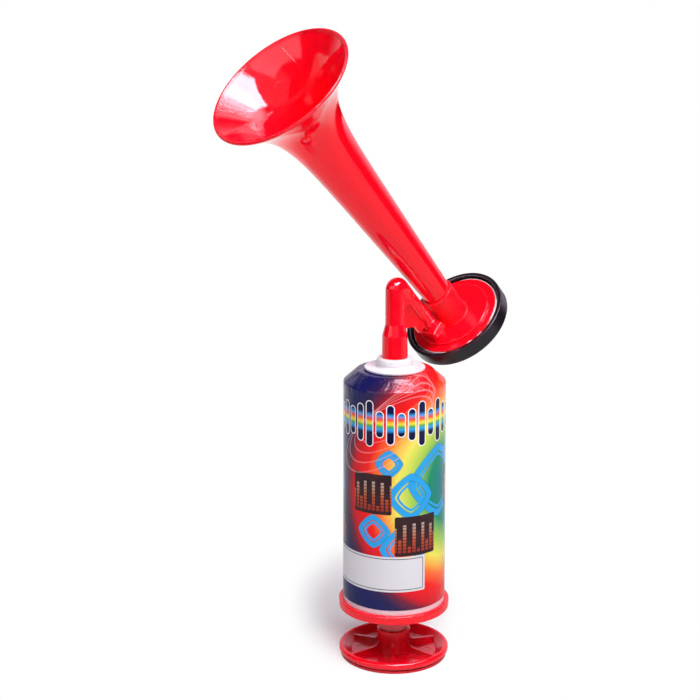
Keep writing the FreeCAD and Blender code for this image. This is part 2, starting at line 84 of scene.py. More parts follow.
towards_camera = pointing(camera_turn_deg, camera_rise_deg)
camera_data = bpy.data.cameras.new("studio_camera")
camera_data.lens = lens_mm
camera_data.sensor_width = sensor_mm
camera = bpy.data.objects.new("studio_camera", camera_data)
bpy.context.scene.collection.objects.link(camera)
aim = towards_camera.to_track_quat("Z", "Y").to_matrix().to_4x4()
roll = Matrix.Rotation(math.radians(camera_roll_deg), 4, "Z")
camera.matrix_world = Matrix.Translation(camera_place) @ aim @ roll
bpy.context.scene.camera = camera
bpy.context.scene.view_settings.view_transform = "Standard"
print("camera distance in mm:", round(camera_place.length / mm))

# %% [markdown]
# ## Formulas as node graphs
#
# A procedural finish is a formula that Blender works out at every point of the surface. Pictures
# wrapped round the pieces would be quicker to make, but they blur when the camera comes near.
# Formulas stay sharp. Wiring their math nodes by hand takes many lines, so this small class lets
# plain signs do it: `a * 2 + b` adds two nodes and their links.

# %% Formula
class Formula:
    """A number in a node tree."""

    def __init__(self, tree, socket):
        self.tree = tree
        self.socket = socket

    def through(self, operation, *others):
        """The result of one math node, fed with this number and the others."""
        math_node = self.tree.nodes.new("ShaderNodeMath")
        math_node.operation = operation
        for port, value in zip(math_node.inputs, (self,) + others):
            if isinstance(value, Formula):
                self.tree.links.new(value.socket, port)
            else:
                port.default_value = value
        return Formula(self.tree, math_node.outputs[0])

    def __add__(self, other):
        return self.through("ADD", other)

    def __sub__(self, other):
        return self.through("SUBTRACT", other)

    def __mul__(self, other):
        return self.through("MULTIPLY", other)

    def __truediv__(self, other):
        return self.through("DIVIDE", other)

    def __abs__(self):
        return self.through("ABSOLUTE")

    def smooth(self, low, high):
        """0 below low, 1 above high, with an even turn between them."""
        turn = self.tree.nodes.new("ShaderNodeMapRange")
        turn.interpolation_type = "SMOOTHSTEP"
        self.tree.links.new(self.socket, turn.inputs["Value"])
        turn.inputs["From Min"].default_value = low
        turn.inputs["From Max"].default_value = high
        return Formula(self.tree, turn.outputs["Result"])

    def inside(self, soft):
        """1 where the number is below zero, 0 where it is above soft."""
        return self.smooth(soft, 0)


print("signs a formula understands: + - * / abs()")

# %% [markdown]
# ## A finish for each material
#
# A finish is a material that is still being mixed. All the finishes need the same few things: the
# point's place on the piece, noise of a given size, a blend of two colours, and a raised or sunken
# surface. They could be wired again for each material. Kept together in one class, each of them is
# a single call, and they all use the object's own coordinates, so the marks move with the piece.

# %% Finish
class Finish:
    """One material being mixed, with the object's own coordinates at hand."""

    def __init__(self, name):
        self.material = bpy.data.materials.new(name)
        self.material.use_nodes = True
        self.tree = self.material.node_tree
        self.shader = self.tree.nodes["Principled BSDF"]
        self.place = self.tree.nodes.new("ShaderNodeTexCoord").outputs["Object"]

    def link(self, value, port):
        """Let a formula or a colour drive one port of the shader."""
        socket = value.socket if isinstance(value, Formula) else value
        self.tree.links.new(socket, self.shader.inputs[port])

    def axes(self):
        """The point's x, y and z as formulas, in millimetres."""
        parts = self.tree.nodes.new("ShaderNodeSeparateXYZ")
        self.tree.links.new(self.place, parts.inputs[0])
        return [Formula(self.tree, parts.outputs[i]) / mm for i in range(3)]

    def noise(self, size, detail=2.0, stretch=(1, 1, 1)):
        """Even noise from 0 to 1 whose lumps are about size across."""
        spread = self.tree.nodes.new("ShaderNodeMapping")
        spread.inputs["Scale"].default_value = stretch
        self.tree.links.new(self.place, spread.inputs["Vector"])
        lumps = self.tree.nodes.new("ShaderNodeTexNoise")
        lumps.inputs["Scale"].default_value = 1 / size
        lumps.inputs["Detail"].default_value = detail
        self.tree.links.new(spread.outputs[0], lumps.inputs["Vector"])
        return Formula(self.tree, lumps.outputs["Fac"])

    def mix(self, below, above, amount):
        """A colour between two others; each is a socket or three numbers."""
        blend = self.tree.nodes.new("ShaderNodeMix")
        blend.data_type = "RGBA"
        for port, colour in ((blend.inputs["A"], below), (blend.inputs["B"], above)):
            if isinstance(colour, bpy.types.NodeSocket):
                self.tree.links.new(colour, port)
            else:
                port.default_value = (*colour, 1)
        self.tree.links.new(amount.socket, blend.inputs["Factor"])
        return blend.outputs["Result"]

    def ramp(self, amount, stops):
        """Colours along a number that runs from 0 to 1."""
        band = self.tree.nodes.new("ShaderNodeValToRGB")
        while len(band.color_ramp.elements) < len(stops):
            band.color_ramp.elements.new(1)
        for element, (spot, colour) in zip(band.color_ramp.elements, stops):
            element.position = spot
            element.color = (*colour, 1)
        self.tree.links.new(amount.socket, band.inputs["Fac"])
        return band.outputs["Color"]

    def relief(self, height, depth):
        """Raise the surface by depth where height is 1."""
        bump = self.tree.nodes.new("ShaderNodeBump")
        bump.inputs["Distance"].default_value = depth
        self.tree.links.new(height.socket, bump.inputs["Height"])
        previous = self.shader.inputs["Normal"]
        if previous.is_linked:
            self.tree.links.new(previous.links[0].from_socket, bump.inputs["Normal"])
        self.tree.links.new(bump.outputs["Normal"], previous)

    def glow_through(self, weight, reach, shares):
        """Light that enters the plastic and leaves it again nearby."""
        self.shader.inputs["Subsurface Weight"].default_value = weight
        self.shader.inputs["Subsurface Scale"].default_value = reach
        self.shader.inputs["Subsurface Radius"].default_value = shares


print("a finish can: link, read its axes, noise, mix, ramp, relief and glow through")

# %% [markdown]
# ## Red moulded plastic
#
# Handle, end cap, elbow, drum and trumpet are all moulded from one glossy red plastic. It lets a
# little light in, and its skin carries the marks of its mould: a faint orange peel, streaks where
# the melt flowed, and rubbed patches that blur the reflections. One even red would be simpler, but
# its highlights would look too clean. So noise mixes two reds, roughens patches and lifts the skin
# by a few thousandths of a millimetre. Cap and handle have had more wear and are more satin. The
# handle's red is darker, as painted shade for the pump's own shadow in its dish.

# %% Red plastic
deep_red = (0.94, 0.0010, 0.011)
bright_red = (0.99, 0.0030, 0.018)
red_glow = (1.0, 0.12, 0.10)
flow_size = 18 * mm
rub_size, rub_range, rub_blur = 7 * mm, (0.45, 0.75), 0.10
grain_size, grain_height, grain_blur = 0.6 * mm, 0.004 * mm, 0.03
peel_size, peel_height = 2.4 * mm, 0.005 * mm
polish = 0.055


def red_plastic(name, flow=(1, 1, 1), depth=1.0, satin=0.0, glow=0.25, reach=2):
    """Glossy red: depth scales its red, satin roughens it, glow lets light in for reach mm."""
    finish = Finish(name)
    clouds = finish.noise(flow_size, 3, flow)
    tones = [(red * depth, green, blue) for red, green, blue in (deep_red, bright_red)]
    finish.colour = finish.mix(*tones, clouds)
    finish.link(finish.colour, "Base Color")
    rubbed = finish.noise(rub_size, 4).smooth(*rub_range)
    grain = finish.noise(grain_size, 2)
    finish.roughness = rubbed * rub_blur + grain * grain_blur + polish + satin
    finish.link(finish.roughness, "Roughness")
    finish.relief(finish.noise(peel_size, 2), peel_height)
    finish.relief(grain, grain_height)
    finish.glow_through(glow, reach * mm, red_glow)
    return finish


# %% Red plastic of each piece
along_the_stem = (1, 0.35, 0.35)
red_trumpet = red_plastic("red_trumpet_plastic", flow=along_the_stem, glow=0.2, reach=3)
red_housing = red_plastic("red_housing_plastic")
red_elbow = red_plastic("red_elbow_plastic", glow=0.1)
red_cap = red_plastic("red_cap_plastic", depth=0.92, satin=0.15)
# The handle's red is scaled by 0.62 as painted shade, for the shadow the end cap casts into its dish.
red_handle = red_plastic("red_handle_plastic", depth=0.62, satin=0.12, glow=0.1)
red_finishes = (red_trumpet, red_housing, red_elbow, red_cap, red_handle)
print("red finishes:", [finish.material.name for finish in red_finishes])

# %% [markdown]
# ## Plain plastics, rubber, film and steel
#
# The other pieces are cheap mouldings too. The barrel is milky and lets some light in, the rod is
# frosted, the collar is a clean white, and the cap behind the drum is a satin black. Inside there
# are rubber rings, a steel screw and the film. Real milky plastic could be made as glass with fog
# in it, which takes long to render. Light that enters the surface and leaves it nearby looks the
# same on walls this thin. All of these share one recipe: two tones in patches, dull spots, and fine
# bumps.

# %% Plain finish
def plain_finish(name, tones, patches, dull_spots, polish, bumps, height):
    """Two tones in patches, duller spots on a polish, and fine bumps.

    Patches and bumps are noise: its size, and if need be its detail and its stretch. The dull spots
    have a size and say how much they add to the roughness of the polish.
    """
    finish = Finish(name)
    finish.link(finish.mix(*tones, finish.noise(*patches)), "Base Color")
    spot_size, spot_share = dull_spots
    finish.link(finish.noise(spot_size) * spot_share + polish, "Roughness")
    finish.relief(finish.noise(*bumps), height)
    return finish


# %% Milky, frosted and white plastic
along_the_rod = (1, 1, 0.3)
# The barrel's tones are a milky white tinted pink; the pink is painted reflection of the red parts next to
# it.
milky = plain_finish("milky_barrel_plastic", tones=((0.74, 0.60, 0.68), (0.82, 0.70, 0.77)),
                     patches=(12 * mm,), dull_spots=(1.5 * mm, 0.12), polish=0.28,
                     bumps=(3 * mm,), height=0.01 * mm)
milky.glow_through(weight=0.5, reach=3 * mm, shares=(1.0, 0.8, 0.8))

# The rod's dark red is painted shade, for the shade under the end cap, and painted red light from the red
# parts seen through the frosted plastic.
frosted = plain_finish("frosted_rod_plastic", tones=((0.52, 0.085, 0.11), (0.62, 0.15, 0.17)),
                       patches=(8 * mm, 3, along_the_rod), dull_spots=(0.8 * mm, 0.15), polish=0.42,
                       bumps=(0.5 * mm,), height=0.006 * mm)
frosted.glow_through(weight=0.5, reach=3 * mm, shares=(1.0, 0.5, 0.5))

white = plain_finish("white_collar_plastic", tones=((0.80, 0.79, 0.83), (0.86, 0.85, 0.89)),
                     patches=(6 * mm,), dull_spots=(1.2 * mm, 0.05), polish=0.32,
                     bumps=(2 * mm,), height=0.004 * mm)
white.glow_through(weight=0.2, reach=1 * mm, shares=(1.0, 0.9, 0.9))
print("pale finishes:", [finish.material.name for finish in (milky, frosted, white)])

# %% Black plastic, rubber, film and steel
black = plain_finish("black_cap_plastic", tones=((0.007, 0.004, 0.008), (0.012, 0.008, 0.013)),
                     patches=(5 * mm,), dull_spots=(1.1 * mm, 0.08), polish=0.20,
                     bumps=(0.35 * mm,), height=0.003 * mm)
rubber = plain_finish("black_rubber", tones=((0.015, 0.015, 0.016), (0.03, 0.03, 0.032)),
                      patches=(1.5 * mm,), dull_spots=(0.8 * mm, 0.2), polish=0.55,
                      bumps=(0.4 * mm,), height=0.01 * mm)
film = plain_finish("white_film", tones=((0.80, 0.78, 0.80), (0.90, 0.89, 0.91)),
                    patches=(2 * mm,), dull_spots=(1 * mm, 0.15), polish=0.25,
                    bumps=(1.2 * mm, 3), height=0.05 * mm)
steel = plain_finish("plated_steel", tones=((0.50, 0.50, 0.52), (0.66, 0.66, 0.68)),
                     patches=(1.5 * mm,), dull_spots=(0.4 * mm, 0.2), polish=0.25,
                     bumps=(0.3 * mm,), height=0.006 * mm)
steel.shader.inputs["Metallic"].default_value = 1
print("other finishes:", [finish.material.name for finish in (black, rubber, film, steel)])

# %% [markdown]
# ## The print: a map of the tube
#
# A glossy film is printed flat, wrapped round the barrel and shrunk with hot air. The print could be
# painted as a picture, but it is made of plain shapes, and formulas keep their edges sharp. The first
# step unrolls the tube: `along` is the distance round it from the middle of the front, and `up` is
# the height. Everything that follows is drawn on this map, in millimetres.

# %% Print: the unrolled map
sleeve_low, sleeve_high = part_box("printed_sleeve")
sleeve_r = (sleeve_high.x - sleeve_low.x) / 2 / mm
half_round = math.pi * sleeve_r
front_turn = math.atan2(towards_camera.y, towards_camera.x)

sleeve = Finish("printed_sleeve_film")
x, y, up = sleeve.axes()
front = x * math.cos(front_turn) + y * math.sin(front_turn)
aside = y * math.cos(front_turn) - x * math.sin(front_turn)
along = aside.through("ARCTAN2", front) * sleeve_r
print("film radius in mm:", round(sleeve_r, 2), "round it:", round(2 * half_round, 1),
      "from", round(sleeve_low.z / mm, 1), "to", round(sleeve_high.z / mm, 1))

# %% [markdown]
# ## The print: a sunburst
#
# The ground of the print is a burst of colours: green in its middle, then yellow, orange and red,
# and navy blue at its rim. A gradient laid straight across the film would give bands. The distance
# from a middle gives the burst, and a little noise bends its rings. There are two bursts, one on the
# right of the front and a smaller one on the back, and each point takes the nearer.

# %% Print: the sunburst
burst_stops = [
    (0.00, (0.015, 0.130, 0.330)),
    (0.13, (0.008, 0.200, 0.210)),
    (0.23, (0.004, 0.250, 0.120)),
    (0.33, (0.330, 0.560, 0.080)),
    (0.42, (0.800, 0.730, 0.100)),
    (0.52, (0.930, 0.160, 0.030)),
    (0.59, (0.840, 0.010, 0.010)),
    (0.68, (0.600, 0.006, 0.016)),
    (0.72, (0.150, 0.014, 0.036)),
    (0.77, (0.022, 0.014, 0.070)),
    (0.83, (0.010, 0.011, 0.100)),
    (1.00, (0.009, 0.010, 0.080))]
front_burst = dict(centre_along=34, centre_up=84, reach=81)
back_burst = dict(centre_along=-82, centre_up=90, reach=50)
ripple_size = 16 * mm
ripple_share = 0.04


def length(across, rise):
    """The long side of a right triangle."""
    return (across * across + rise * rise).through("SQRT")


def burst(centre_along, centre_up, reach):
    """0 at the centre of a sunburst, 1 at its reach."""
    across = (along - centre_along).through("PINGPONG", half_round)
    return length(across, up - centre_up) / reach


ripple = (sleeve.noise(ripple_size, 2) - 0.5) * ripple_share
sunburst = burst(**front_burst).through("MINIMUM", burst(**back_burst)) + ripple
print_colour = sleeve.ramp(sunburst, burst_stops)
print("sunburst colours:", len(burst_stops))

# %% [markdown]
# ## The print: plain shapes
#
# Shapes lie over the burst: blue rings of rounded diamonds, and dark windows with level bars. Each
# could be a little mesh laid on the film, but such meshes flicker where they touch. On the map a
# shape is only a number that is below zero inside it. The same shape is drawn several times round
# the tube by wrapping the distance, so nothing has to be copied.

# %% Print: helpers for shapes
edge_soft = 0.12


def repeated(pitch, offset):
    """Distance round the tube from the nearest of a row of evenly spaced middles."""
    return (along - offset).through("WRAP", pitch / 2, -pitch / 2)


def rounded_panel(across, rise, half_width, half_height, corner):
    """Below zero inside a rectangle with round corners."""
    over_x = (abs(across) - (half_width - corner)).through("MAXIMUM", 0)
    over_y = (abs(rise) - (half_height - corner)).through("MAXIMUM", 0)
    return length(over_x, over_y) - corner


def diamond(across, rise):
    """Distance from the middle, measured so that a ring becomes a diamond with round corners."""
    total = abs(across).through("POWER", diamond_power) + abs(rise).through("POWER", diamond_power)
    return total.through("POWER", 1 / diamond_power)


print("edges fade over", edge_soft, "mm")

# %% Print: rings of diamonds
diamond_power = 1.35
sky_blue = (0.020, 0.330, 0.730)
deep_teal = (0.004, 0.110, 0.150)
thin_band = 0.55
outline_width = 0.3
outline_strength = 0.6
# How often a ring comes round the tube, along, up, its size and half the width of its band.
diamond_rings = [
    (2, 22, 87, 15.0, 1.5),
    (3, 7, 82, 9.0, 1.5),
    (3, -10, 66, 6.4, 1.2),
    (3, 4, 58, 9.6, 1.4),
    (4, -3, 97, 5.2, 0.9)]
for share, offset, height, size, band in diamond_rings:
    away = diamond(repeated(2 * half_round / share, offset), up - height)
    ring = (abs(away - size) - band).inside(edge_soft)
    thin_ring = (abs(away - size + 2 * band) - thin_band).inside(edge_soft)
    outline = (abs(away - size) - band - outline_width).inside(edge_soft) * outline_strength
    print_colour = sleeve.mix(print_colour, deep_teal, outline)
    print_colour = sleeve.mix(print_colour, sky_blue, ring.through("MAXIMUM", thin_ring))
print("rings of diamonds:", sum(share for share, *_ in diamond_rings))

# %% Print: windows with level bars
window_stops = [(0.0, (0.26, 0.012, 0.010)), (0.4, (0.46, 0.070, 0.025)), (0.65, (0.44, 0.24, 0.15)),
                (1.0, (0.36, 0.44, 0.54))]
window_dark = ((0.012, 0.008, 0.012), (0.055, 0.016, 0.018))
window_corner = 0.8
window_margin = 1.2
windows_round = 3
columns_in_half = 4.5
column_half, column_soft = 0.30, 0.08
block_height, block_gap, block_soft = 1.5, 0.78, 0.05
level_pace, level_share, level_least = 1.7, 1.4, 1
dirt_size = 4 * mm
# Along, up, half the width and half the height.
windows = [(-11, 83, 9.2, 9.0), (9.5, 64, 9.8, 9.0)]
for offset, height, half_width, half_height in windows:
    across = repeated(2 * half_round / windows_round, offset)
    rise = up - height
    from_sill = rise + half_height
    window = rounded_panel(across, rise, half_width, half_height, window_corner).inside(edge_soft)
    column = across / (half_width / columns_in_half)
    level = abs((column.through("FLOOR") * level_pace + offset).through("SINE"))
    level = level * (level_share * half_height) + level_least
    bar = (abs(column.through("FRACT") - 0.5) - column_half).inside(column_soft)
    bar = bar * (from_sill - window_margin - level).inside(edge_soft)
    bar = bar * (from_sill - window_margin).smooth(0, edge_soft)
    bar = bar * ((rise / block_height).through("FRACT") - block_gap).inside(block_soft)
    lit = sleeve.ramp(from_sill / (2 * half_height), window_stops)
    dark = sleeve.mix(*window_dark, sleeve.noise(dirt_size))
    print_colour = sleeve.mix(print_colour, sleeve.mix(dark, lit, bar), window)
print("windows:", windows_round * len(windows))

# %% [markdown]
# ## The print: lines, sound bars and a panel
#
# A sheaf of thin curved lines swings over the upper part. A row of sound bars with white edges and
# rainbow bands lies on top of it, and near the foot there is a pale panel with a thin frame. The
# lines could be curves, but six ovals of growing size that share one lean give the same sheaf. The
# bars are counted round the tube, and sines of the count give each its own height.

# %% Print: thin curved lines
line_count = 6
line_pink = (0.90, 0.42, 0.45)
line_width = 0.012
line_strength = 0.36
lean_cos, lean_sin = 0.82, 0.57
# Each value starts at the first number and changes by the second from line to line.
oval_along, oval_up = (6, -2.2), (127, -3.6)
oval_long, oval_short = (19.0, 1.5), (5.0, 1.2)
for number in range(line_count):
    middle_along, middle_up, half_long, half_short = (
        start + step * number for start, step in (oval_along, oval_up, oval_long, oval_short))
    across = repeated(half_round, middle_along)
    rise = up - middle_up
    turned = across * lean_cos + rise * lean_sin
    raised = rise * lean_cos - across * lean_sin
    oval = length(turned / half_long, raised / half_short)
    line = (abs(oval - 1) - line_width).inside(line_width) * line_strength
    print_colour = sleeve.mix(print_colour, line_pink, line)
print("curved lines:", line_count, "on each side")

# %% Print: sound bars with white edges
bar_count = 30
bar_pitch = 2 * half_round / bar_count
bar_half = 1.45
bar_middle = 114.5
bar_edge = 0.42
bar_white = (0.86, 0.85, 0.90)
bar_spread = 22
bar_stops = [(0.00, (0.006, 0.006, 0.035)), (0.33, (0.008, 0.008, 0.050)), (0.40, (0.030, 0.330, 0.800)),
             (0.46, (0.060, 0.380, 0.060)), (0.52, (0.820, 0.700, 0.040)), (0.60, (0.850, 0.060, 0.020)),
             (0.68, (0.040, 0.300, 0.700)), (0.74, (0.010, 0.008, 0.060)), (1.00, (0.006, 0.006, 0.035))]
quick_pace, quick_start, quick_height = 1.9, 0.6, 4.6
slow_pace, slow_height = 0.55, 3.2
least_height = 2.4
bar_number = (along / bar_pitch).through("FLOOR")
quick_swell = abs((bar_number * quick_pace + quick_start).through("SINE")) * quick_height
slow_swell = abs((bar_number * slow_pace).through("SINE")) * slow_height
swell = quick_swell + slow_swell + least_height
bar_across = ((along / bar_pitch).through("FRACT") - 0.5) * bar_pitch
bar_rise = up - bar_middle
pill = length(bar_across, (abs(bar_rise) - swell + bar_half).through("MAXIMUM", 0)) - bar_half
print_colour = sleeve.mix(print_colour, bar_white, (pill - bar_edge).inside(edge_soft))
rainbow = sleeve.ramp(bar_rise / bar_spread + 0.5, bar_stops)
print_colour = sleeve.mix(print_colour, rainbow, pill.inside(edge_soft))
print("sound bars:", bar_count, "every", round(bar_pitch, 2), "mm")

# %% Print: pale panel
panel_half_width = 30.0
panel_half_height = 8.1
panel_along = -16.2
panel_up = 46.5
panel_pale = (0.66, 0.65, 0.68)
panel_corner, frame_corner = 0.6, 0.4
frame_inset = 1
frame_half = 0.11
frame_grey = (0.05, 0.05, 0.06)
panel_across = (along - panel_along).through("WRAP", half_round, -half_round)
panel_rise = up - panel_up
panel = rounded_panel(panel_across, panel_rise, panel_half_width, panel_half_height, panel_corner)
print_colour = sleeve.mix(print_colour, panel_pale, panel.inside(edge_soft))
frame_line = rounded_panel(panel_across, panel_rise,
                           panel_half_width - frame_inset, panel_half_height - frame_inset,
                           frame_corner)
frame_line = (abs(frame_line) - frame_half).inside(edge_soft)
print_colour = sleeve.mix(print_colour, frame_grey, frame_line)
sleeve.link(print_colour, "Base Color")
print("panel in mm:", 2 * panel_half_width, "by", 2 * panel_half_height)

# %% [markdown]
# ## The print: gloss and creases
#
# Where the film shrank most it is creased: upright folds near the foot, and a crumpled belt where it
# bends over the shoulder. The folds could be modelled in the mesh, but they are shallower than a
# millimetre, and only their highlights show. Stretched noise as a relief gives them. The film bends
# light less than solid plastic, so its mirror images are a little weaker.

# %% Print: gloss and creases
shoulder = sleeve_high.z / mm
folds_low, folds_high = 30, 40
belt_low, belt_high = shoulder - 11, shoulder - 5
# Size of the noise, its detail and its stretch, then the depth of the relief.
fold_noise, fold_depth = (2.4 * mm, 3, (1, 1, 0.12)), 0.55 * mm
belt_noise, belt_depth = (3.2 * mm, 3, (1, 1, 0.5)), 0.65 * mm
wave_noise, wave_depth = (9 * mm, 2, (1, 1, 0.4)), 0.06 * mm
haze_size, haze_share, sleeve_polish = 5 * mm, 0.08, 0.10
sleeve_ior = 1.33
sleeve.relief(sleeve.noise(*fold_noise) * up.smooth(folds_high, folds_low), fold_depth)
sleeve.relief(sleeve.noise(*belt_noise) * up.smooth(belt_low, belt_high), belt_depth)
sleeve.relief(sleeve.noise(*wave_noise), wave_depth)
sleeve.link(sleeve.noise(haze_size, 3) * haze_share + sleeve_polish, "Roughness")
sleeve.shader.inputs["IOR"].default_value = sleeve_ior
print("print nodes:", len(sleeve.tree.nodes))

# %% [markdown]
# ## Dress the solids
#
# Each solid of the frame has one material slot, and a finish goes into it. The pieces could be made
# again with smoother meshes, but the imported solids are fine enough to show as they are, and so their
# sizes stay exact.

# %% Finishes on the solids
finishes = {
    "pull_handle": red_handle, "end_cap": red_cap, "elbow_pipe": red_elbow, "horn_housing": red_housing,
    "trumpet": red_trumpet,
    "piston_rod": frosted, "rod_plug": white, "piston_head": white, "outlet_collar": white,
    "pump_barrel": milky, "printed_sleeve": sleeve, "back_cap": black,
    "piston_ring": rubber, "collar_washer": rubber, "spigot_seal": rubber, "diaphragm_gasket": rubber,
    "piston_screw": steel}
for name, finish in finishes.items():
    nodes[name].material_slots[0].material = finish.material
print("dressed:", len(finishes))

# %% [markdown]
# ## The crinkled film
#
# Between the red drum and its black cap the edge of a thin white film shows. The CAD model has it as
# a disc with a plain turned-up edge. A cloth simulation could crumple it, but it wouldn't come out
# the same twice. Here it is made as a mesh of one loop: the same disc, but with an edge that folds
# differently at every angle. The film was put in off its middle, with a surplus on the upper right.
# There it stands up and fills the gap, and elsewhere it is a thin grey line between red and black.

# %% Film: the drum's own directions
drum_tilt = math.radians(43)
drum_place = Vector((0, 36.953, 151.962))
drum_axis = Vector((0, -math.sin(drum_tilt), math.cos(drum_tilt)))
drum_up = Vector((0, math.cos(drum_tilt), math.sin(drum_tilt)))


def at_drum(turn, reach, rise):
    """Point at an angle and a distance round the drum's axis, and rise above its face."""
    flat = Vector((math.sin(turn), 0, 0)) + drum_up * math.cos(turn)
    return (drum_place + flat * reach + drum_axis * rise) * mm


print("drum leans by", round(math.degrees(drum_tilt)), "degrees")

# %% Film: where it is loose and where it stands up
# Arcs of the edge: the middle and half the width in degrees, and a share.
loose_arcs = [(70, 18, 1.0), (90, 14, 0.5), (108, 4, 0.6), (123, 4, 0.6)]
raised_arcs = [(30, 66, 1.0), (108, 5, 0.9), (123, 5, 0.9), (176, 20, 0.7)]


def hump(turn_deg, arcs):
    """The highest of some arcs at an angle."""
    total = 0
    for middle, half_width, share in arcs:
        away = abs((turn_deg - middle + 180) % 360 - 180) / half_width
        total = max(total, share * (1 - away ** 4))
    return total


print("loose arcs:", len(loose_arcs), "raised arcs:", len(raised_arcs))

# %% Film: corners
gap_low, gap_high = 20.6, 21.66
film_under, film_top = -1.8, -1.5
flat_r, seat_r = 20.3, 21.35
edge_thickness = 0.32
around, folds = 900, 8
# The crest's height above the drum's face where the film lies flat, and what is added to it.
crest_flat, crest_raised, crest_loose, crest_wavy = -0.70, 0.62, 0.35, 0.12
wrinkle_scale = 45
crinkle_start, crinkle_run, crinkle_height = 4, 1.6, 0.42
droop_height = 0.2
corners = [at_drum(0, 0, film_under)]
for i in range(around):
    turn = 2 * math.pi * i / around
    round_place = Vector((math.sin(turn), math.cos(turn), 0)) * wrinkle_scale
    loose = hump(math.degrees(turn), loose_arcs)
    raised = hump(math.degrees(turn), raised_arcs)
    outer = gap_low + edge_thickness + (gap_high - gap_low - edge_thickness) * loose
    crest = crest_flat + crest_raised * raised + crest_loose * loose + crest_wavy * noise.noise(round_place)
    profile = [(flat_r, film_under), (seat_r, film_under)]
    for j in range(folds):
        share = j / (folds - 1)
        fold_place = round_place + Vector((0, 0, crinkle_start + share * crinkle_run))
        crinkle = noise.noise(fold_place) * crinkle_height * loose
        droop = droop_height * (2 * share - 1) ** 4
        profile.append((outer + (gap_low - outer) * share, crest + crinkle - droop))
    profile += [(gap_low, film_top), (flat_r, film_top)]
    corners += [at_drum(turn, reach, rise) for reach, rise in profile]
corners.append(at_drum(0, 0, film_top))
print("film corners:", len(corners))

# %% Film: mesh
rows = folds + 4
faces = []
for i in range(around):
    here, there = 1 + i * rows, 1 + (i + 1) % around * rows
    faces += [(here + j, here + j + 1, there + j + 1, there + j) for j in range(rows - 1)]
    faces += [(0, here, there), (len(corners) - 1, there + rows - 1, here + rows - 1)]
film_mesh = bpy.data.meshes.new("film_disc")
film_mesh.from_pydata(corners, [], faces)
film_mesh.polygons.foreach_set("use_smooth", [True] * len(faces))
film_disc = bpy.data.objects.new("film_disc", film_mesh)
bpy.context.scene.collection.objects.link(film_disc)
film_mesh.materials.append(film.material)
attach(film_disc, "horn")
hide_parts("diaphragm")
print("film faces:", len(faces))

# %% [markdown]
# ## Satin skins, painted shade and a painted lit rim
#
# Not all of the red is glossy. The mould was left rough where the socket rises from the drum, and on
# the web between the elbow's legs, whose red is also darkened as painted shade, for the shade that
# falls between the legs. The handle's rolled rim is painted a brighter red than its dish, as painted
# light where the rim catches the light. Such places could get materials of their own, with a hard line
# between two slots. A mask made from the coordinates does it in one material, and the change can be
# soft.

# %% Coordinates along the drum's axis
def drum_coordinates(finish):
    """Sideways, upwards and along the axis of the drum, in mm."""
    x, y, z = finish.axes()
    y, z = y - drum_place.y, z - drum_place.z
    return x, y * drum_up.y + z * drum_up.z, y * drum_axis.y + z * drum_axis.z


# %% Satin socket
socket_skin = (9.5, 8.5)
socket_foot = (1.12, 1.2)
socket_satin = 0.40
socket_x, socket_up, socket_rise = drum_coordinates(red_housing)
on_socket = length(socket_x, socket_up).smooth(*socket_skin) * socket_rise.smooth(*socket_foot)
red_housing.link(red_housing.roughness + on_socket * socket_satin, "Roughness")
print("satin socket within", socket_skin[0], "mm of the drum's axis")

# %% Satin web with painted shade between the elbow's legs
web_half, web_play, web_soft = 1.0, 0.06, 0.05
web_front = (4.2, 4.4)
web_satin = 0.45
web_painted_shade_red = (0.76, 0.0008, 0.009)
elbow_x, elbow_y, _ = red_elbow.axes()
web = (abs(abs(elbow_x) - web_half) - web_play).inside(web_soft) * elbow_y.smooth(*web_front)
red_elbow.link(red_elbow.roughness + web * web_satin, "Roughness")
# The web's red is darkened as painted shade, for the shade between the legs.
red_elbow.link(red_elbow.mix(red_elbow.colour, web_painted_shade_red, web), "Base Color")
print("satin web", 2 * web_half, "mm thick")

# %% Painted light on the handle's rim
painted_rim_light_red = (0.88, 0.0010, 0.013)
rim_height = (2.0, 3.2)
handle_low, handle_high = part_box("pull_handle")
handle_r = (handle_high.x - handle_low.x) / 2 / mm
rim_inner = (handle_r - 2.8, handle_r - 1.4)
handle_x, handle_y, handle_z = red_handle.axes()
painted_lit_rim = length(handle_x, handle_y).smooth(*rim_inner) * handle_z.smooth(*rim_height)
# The rim is painted a brighter red than the dish, as painted light where it catches the light.
red_handle.link(red_handle.mix(red_handle.colour, painted_rim_light_red, painted_lit_rim), "Base Color")
print("handle radius in mm:", round(handle_r, 2))

# %% [markdown]
# ## Marks of making
#
# The black cap's inner edge carries a ring of fine teeth. The bell keeps the shallow round print of
# the pin that pushed it out of its mould, a scratch, a lip painted a darker red, and streaks
# where someone wiped it. All of them are far too shallow to model. A sine of the angle makes the
# teeth, distances from a point or a line make pin mark and scratch, and sines of several widths
# multiplied together make the streaks uneven.

# %% Teeth of the cap
teeth_round = 270
teeth_skin = (22.5, 22.1)
teeth_front = (0.2, 0.6)
teeth_depth = 0.06 * mm
cap_x, cap_up, cap_rise = drum_coordinates(black)
teeth = (cap_x.through("ARCTAN2", cap_up) * teeth_round).through("SINE")
teeth = teeth * length(cap_x, cap_up).smooth(*teeth_skin)
black.relief(teeth * cap_rise.smooth(*teeth_front), teeth_depth)
print("teeth:", teeth_round)

